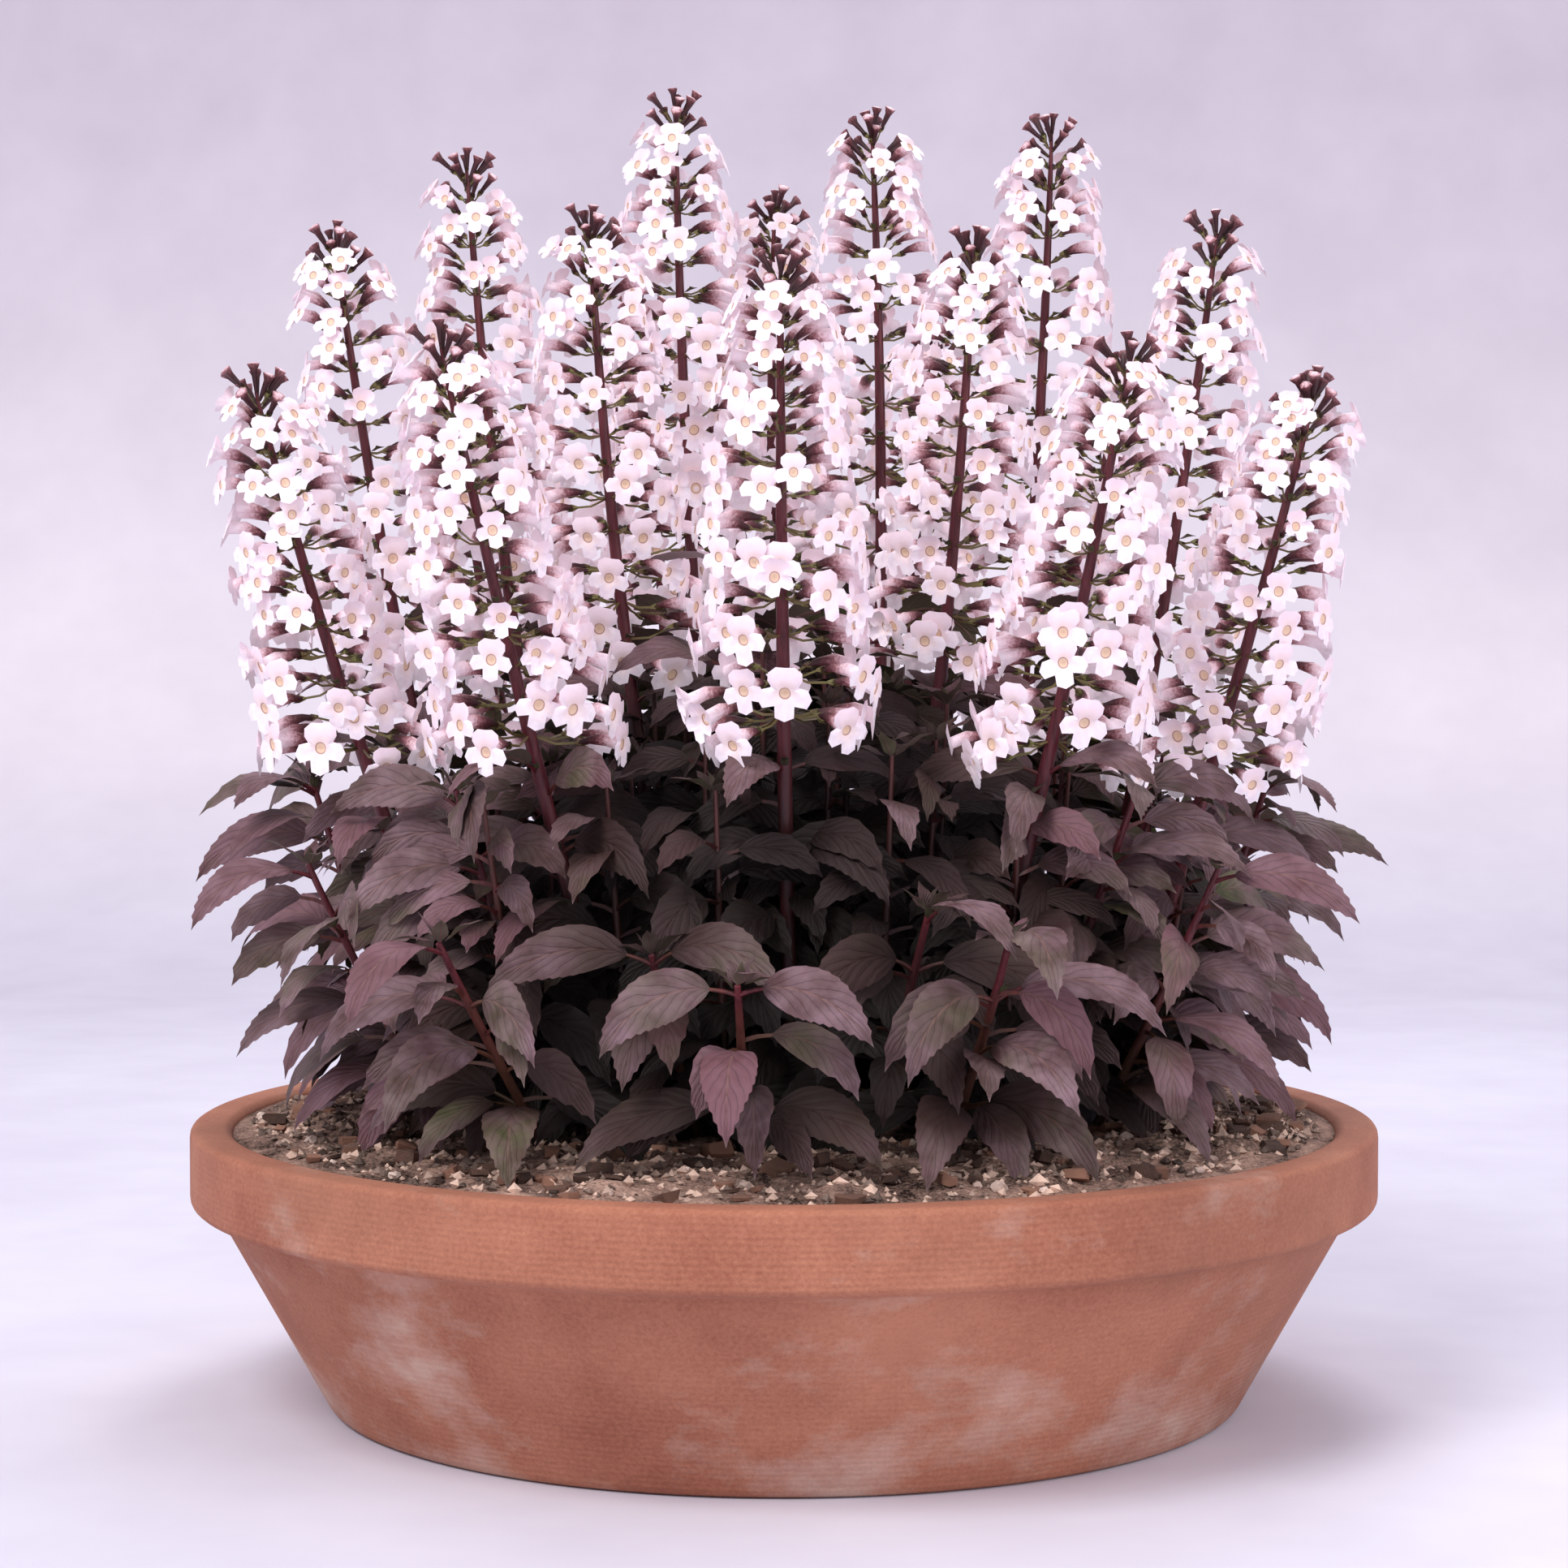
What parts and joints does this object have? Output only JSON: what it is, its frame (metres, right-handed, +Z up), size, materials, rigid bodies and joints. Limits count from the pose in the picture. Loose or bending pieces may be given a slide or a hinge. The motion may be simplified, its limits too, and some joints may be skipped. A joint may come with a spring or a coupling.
{
  "type": "potted husker red beardtongue",
  "caption": "Wide clump of dark-leaved beardtongue with white flower sprays, growing in a low terracotta bowl of soil.",
  "frame": {"origin": "centre of the bowl's flat base, on the surface it stands on", "axes": "+Z up along the flower stems, +Y away from the side that the picture shows, +X to the right in the picture"},
  "size_m": [0.6914, 0.68, 0.7784],
  "materials": {
    "terracotta": "matte unglazed",
    "soil": "matte, gritty",
    "foliage": "satin purple-brown leaf",
    "flowers": "soft matte white petal"
  },
  "bodies": {
    "root": {"pot": "terracotta", "soil": "soil", "leafy_stem_01": "foliage", "leafy_stem_02": "foliage", "leafy_stem_03": "foliage", "leafy_stem_04": "foliage", "leafy_stem_05": "foliage", "leafy_stem_06": "foliage", "leafy_stem_07": "foliage", "leafy_stem_08": "foliage", "leafy_stem_09": "foliage", "leafy_stem_10": "foliage", "leafy_stem_11": "foliage", "leafy_stem_12": "foliage", "leafy_stem_13": "foliage", "leafy_stem_14": "foliage", "leafy_stem_15": "foliage", "leafy_stem_16": "foliage", "leafy_stem_17": "foliage", "leafy_stem_18": "foliage", "flower_spray_01": "flowers", "flower_spray_02": "flowers", "flower_spray_03": "flowers", "flower_spray_04": "flowers", "flower_spray_05": "flowers", "flower_spray_06": "flowers", "flower_spray_07": "flowers", "flower_spray_08": "flowers", "flower_spray_09": "flowers", "flower_spray_10": "flowers", "flower_spray_11": "flowers", "flower_spray_12": "flowers", "flower_spray_13": "flowers", "flower_spray_14": "flowers", "flower_spray_15": "flowers", "flower_spray_16": "flowers", "flower_spray_17": "flowers", "flower_spray_18": "flowers", "leafy_shoot_01": "foliage", "leafy_shoot_02": "foliage", "leafy_shoot_03": "foliage", "leafy_shoot_04": "foliage", "leafy_shoot_05": "foliage", "leafy_shoot_06": "foliage", "leafy_shoot_07": "foliage", "leafy_shoot_08": "foliage", "leafy_shoot_09": "foliage", "leafy_shoot_10": "foliage", "leafy_shoot_11": "foliage", "leafy_shoot_12": "foliage", "leafy_shoot_13": "foliage", "leafy_shoot_14": "foliage", "leafy_shoot_15": "foliage", "leafy_shoot_16": "foliage", "leafy_shoot_17": "foliage", "leafy_shoot_18": "foliage", "leafy_shoot_19": "foliage", "leafy_shoot_20": "foliage"}
  },
  "joints": []
}
